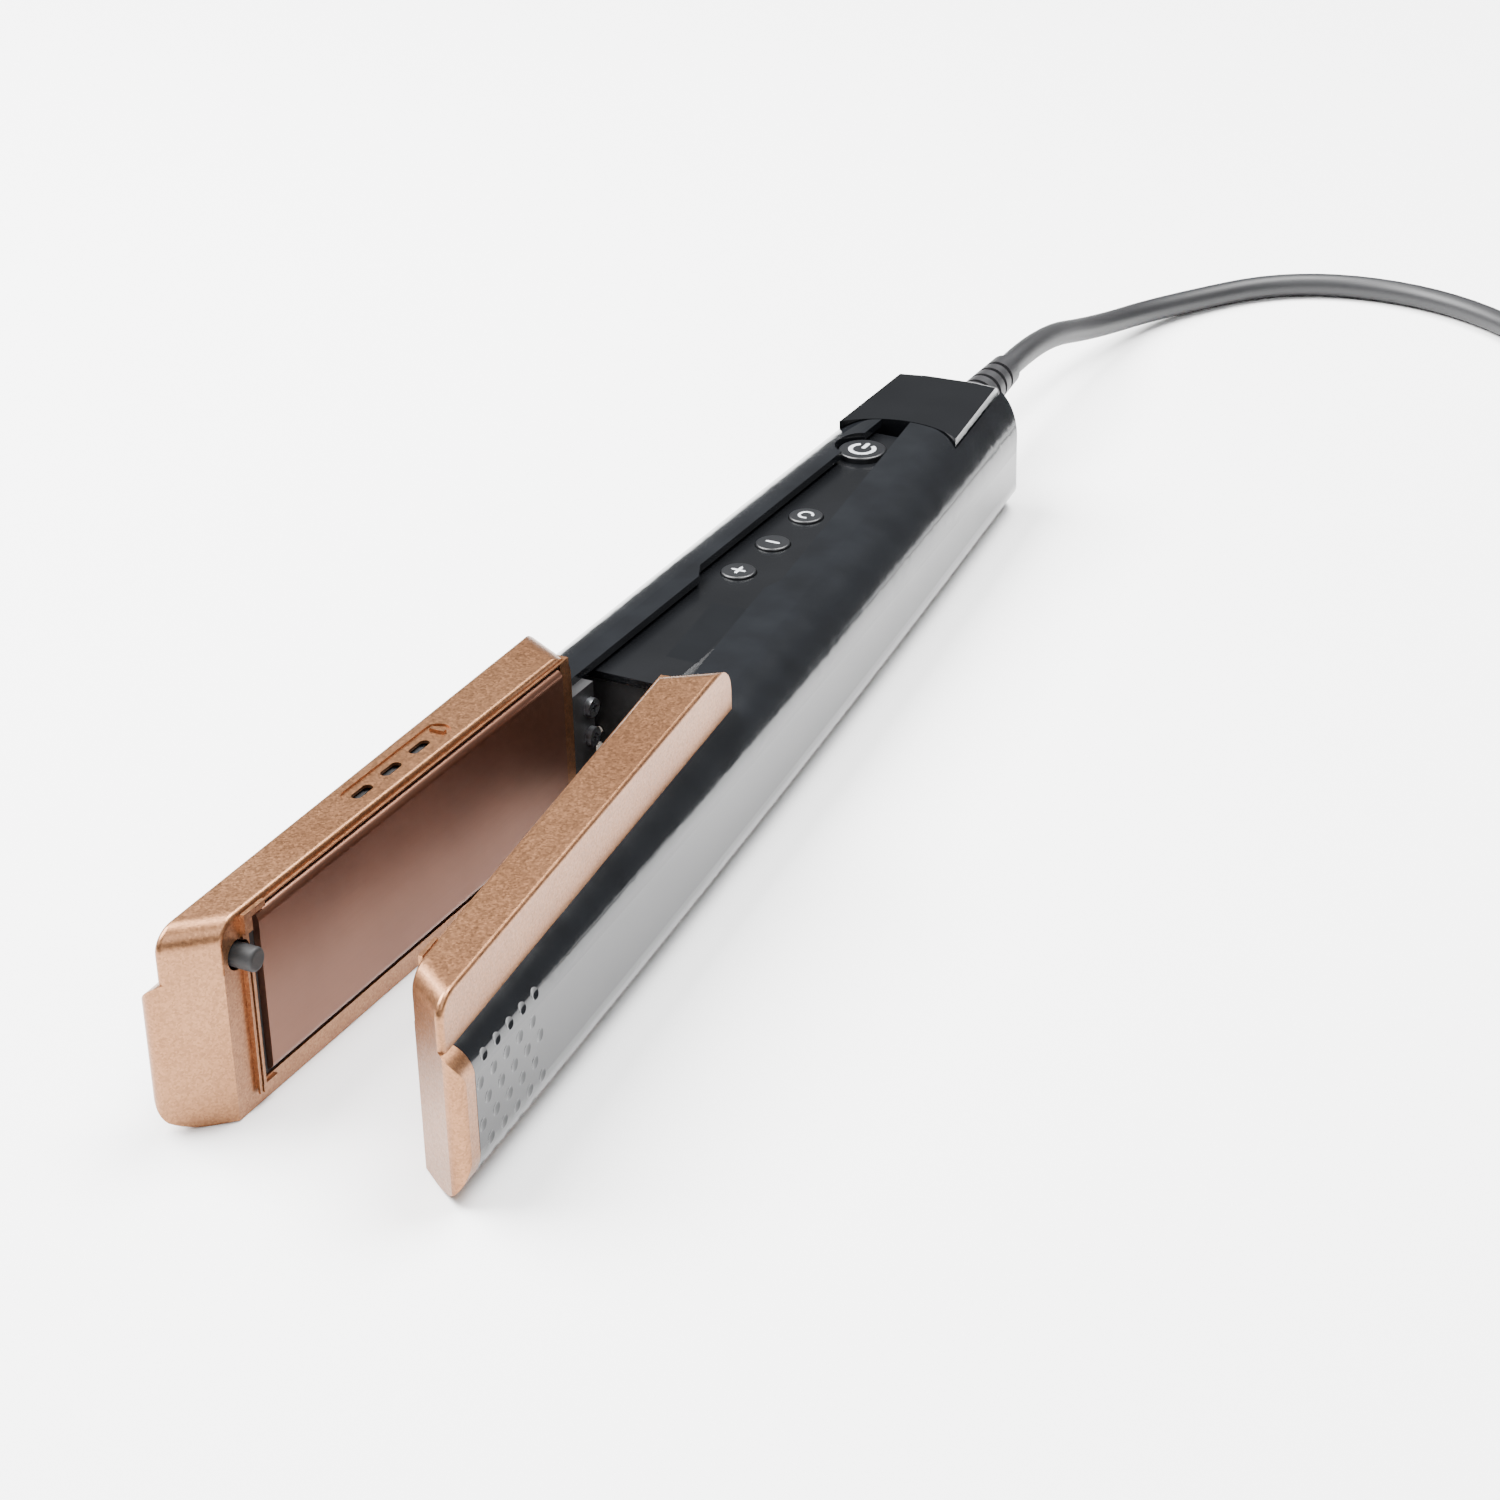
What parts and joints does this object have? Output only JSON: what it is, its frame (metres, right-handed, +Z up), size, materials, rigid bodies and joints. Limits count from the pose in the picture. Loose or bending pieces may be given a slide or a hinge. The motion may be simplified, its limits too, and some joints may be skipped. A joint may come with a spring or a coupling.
{
  "type": "flat iron",
  "caption": "Hair straightener lying open on its side, with two sprung heating plates, a control panel, a hinged tail and a swivel cord.",
  "frame": {"origin": "on the floor below the hinge axis", "axes": "+Z up along the hinge axis as the iron lies on its side, -Y along the fixed left arm towards its tip, +X towards the opened right arm"},
  "size_m": [0.2307, 0.471, 0.0402],
  "materials": {
    "rose_gold": "metallic rose-gold paint with a fine flake",
    "gloss_black": "high-gloss black moulding",
    "bronze_plate": "satin bronze-coloured coating on a ground plate",
    "black_rubber": "matt black silicone or PVC",
    "ceramic_white": "unglazed alumina heater strip",
    "steel": "plain zinc-plated or drawn steel",
    "matte_black": "fine-grained black moulding",
    "lead_sleeve": "glass-fibre sleeve",
    "panel_grey": "satin dark grey moulding",
    "dark_glass": "dark transparent window, polished",
    "board_green": "green solder mask on glass-epoxy board",
    "brass": "plated brass blades"
  },
  "bodies": {
    "left_arm": {"anchor_screws_left": "steel", "control_panel": "panel_grey", "cord": "black_rubber", "cord_coil": "black_rubber", "cord_end": "black_rubber", "cord_tie": "black_rubber", "core_frame": "matte_black", "cushions_left": "black_rubber", "display_module": "matte_black", "display_window": "dark_glass", "guide_pin": "black_rubber", "heater_leads_left": "lead_sleeve", "hinge_pin": "steel", "hinge_spring": "steel", "jaw_anchor_left": "matte_black", "jaw_housing_left": "rose_gold", "key_switches": "matte_black", "main_board": "board_green", "outer_shell_left": "gloss_black", "plate_bezel_left": "rose_gold", "plate_carrier_left": "matte_black", "plate_gasket_left": "black_rubber", "plug_blades": "brass", "plug_body": "black_rubber", "power_board": "board_green", "power_parts": "matte_black", "tail_cap": "matte_black"},
    "right_arm": {"anchor_screws_right": "steel", "cushions_right": "black_rubber", "heater_leads_right": "lead_sleeve", "jaw_anchor_right": "matte_black", "jaw_housing_right": "rose_gold", "outer_shell_right": "gloss_black", "plate_bezel_right": "rose_gold", "plate_carrier_right": "matte_black", "plate_gasket_right": "black_rubber", "hinge_bracket": "steel"},
    "plate_left": {"heating_plate_left": "bronze_plate", "heater_left": "ceramic_white", "heater_clip_left": "steel", "thermal_fuse_left": "steel"},
    "plate_right": {"heating_plate_right": "bronze_plate", "heater_right": "ceramic_white", "heater_clip_right": "steel", "thermal_fuse_right": "steel"},
    "button_plus_body": {"button_plus": "panel_grey"},
    "button_minus_body": {"button_minus": "panel_grey"},
    "button_mode_body": {"button_mode": "panel_grey"},
    "button_power_body": {"button_power": "panel_grey"},
    "swivel": {"cord_swivel": "matte_black", "strain_relief": "black_rubber"}
  },
  "joints": [
    {"name": "arm_hinge", "type": "hinge", "parent": "left_arm", "child": "right_arm", "pos_m": [0, 0, 0.012], "axis": [0, 0, -1], "range_deg": [0, 8], "stiffness_Nm_per_rad": 0.5, "springref_deg": -20.05},
    {"name": "plate_float_left", "type": "slide", "parent": "left_arm", "child": "plate_left", "axis": [-1, 0, 0], "range_m": [0, 0.0008], "stiffness_N_per_m": 2500, "springref_m": -0.0004},
    {"name": "plate_float_right", "type": "slide", "parent": "right_arm", "child": "plate_right", "axis": [0.9903, 0.1392, 0], "range_m": [0, 0.0008], "stiffness_N_per_m": 2500, "springref_m": -0.0004},
    {"name": "button_plus_press", "type": "slide", "parent": "left_arm", "child": "button_plus_body", "axis": [0, 0, -1], "range_m": [0, 0.0003], "stiffness_N_per_m": 400, "springref_m": -0.0002},
    {"name": "button_minus_press", "type": "slide", "parent": "left_arm", "child": "button_minus_body", "axis": [0, 0, -1], "range_m": [0, 0.0003], "stiffness_N_per_m": 400, "springref_m": -0.0002},
    {"name": "button_mode_press", "type": "slide", "parent": "left_arm", "child": "button_mode_body", "axis": [0, 0, -1], "range_m": [0, 0.0003], "stiffness_N_per_m": 400, "springref_m": -0.0002},
    {"name": "button_power_press", "type": "slide", "parent": "left_arm", "child": "button_power_body", "axis": [0, 0, -1], "range_m": [0, 0.0003], "stiffness_N_per_m": 400, "springref_m": -0.0002},
    {"name": "cord_swivel_turn", "type": "hinge", "parent": "left_arm", "child": "swivel", "pos_m": [-0.00349, 0.04988, 0.018], "axis": [-0.0698, 0.9976, 0], "continuous": true}
  ]
}
